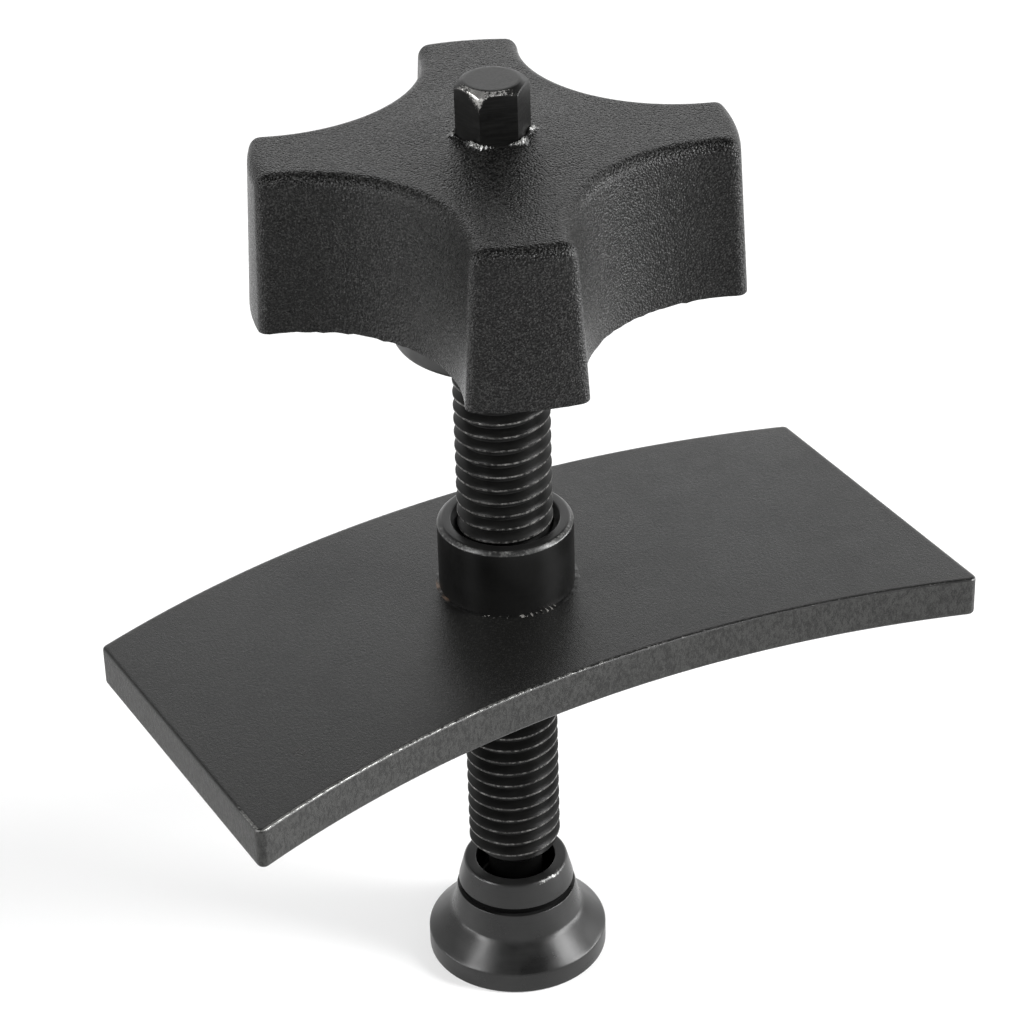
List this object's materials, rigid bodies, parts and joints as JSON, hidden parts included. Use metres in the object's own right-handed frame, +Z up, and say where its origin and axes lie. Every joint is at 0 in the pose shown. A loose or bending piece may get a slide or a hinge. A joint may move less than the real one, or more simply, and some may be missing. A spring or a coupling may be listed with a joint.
{
  "type": "brake caliper piston tool",
  "caption": "Hand screw with a star knob and hexagon end, running through a collar on a curved steel plate to a swivel foot; spreads a brake caliper to push its pistons back.",
  "frame": {"origin": "centre of the foot's flat bottom face, on the screw's axis, in the stored pose", "axes": "+Z up along the screw towards the knob; +X along the plate's length; +Y towards the plate's outward-curving long edge"},
  "size_m": [0.1342, 0.0803, 0.1695],
  "materials": {
    "black_steel": "black oxide, satin to matte",
    "foot_steel": "black oxide on turned steel, satin",
    "weld_steel": "thin seam, partly bright",
    "spring_steel": "drawn wire",
    "knob_plastic": "black, fine sand texture, smooth hub"
  },
  "bodies": {
    "plate": {"pressure_plate": "black_steel", "threaded_collar": "black_steel", "collar_weld": "weld_steel"},
    "carriage": {"snap_ring": "spring_steel"},
    "screw": {"drive_screw": "black_steel", "star_knob": "knob_plastic"},
    "foot": {"swivel_foot": "foot_steel"}
  },
  "joints": [
    {"name": "screw_travel", "type": "slide", "parent": "carriage", "child": "plate", "axis": [0, 0, 1], "range_m": [-0.0475, 0.035]},
    {"name": "screw_turn", "type": "hinge", "parent": "carriage", "child": "screw", "pos_m": [0, 0, 0.1], "axis": [0, 0, 1], "range_deg": [-5011.2, 6811.2]},
    {"name": "foot_tilt", "type": "hinge", "parent": "foot", "child": "carriage", "pos_m": [0, 0, 0.0096], "axis": [1, 0, 0], "range_deg": [-8, 8]}
  ],
  "couplings": [
    {"joint": "screw_travel", "follows": "screw_turn", "m_per_rad": -0.00039789}
  ]
}
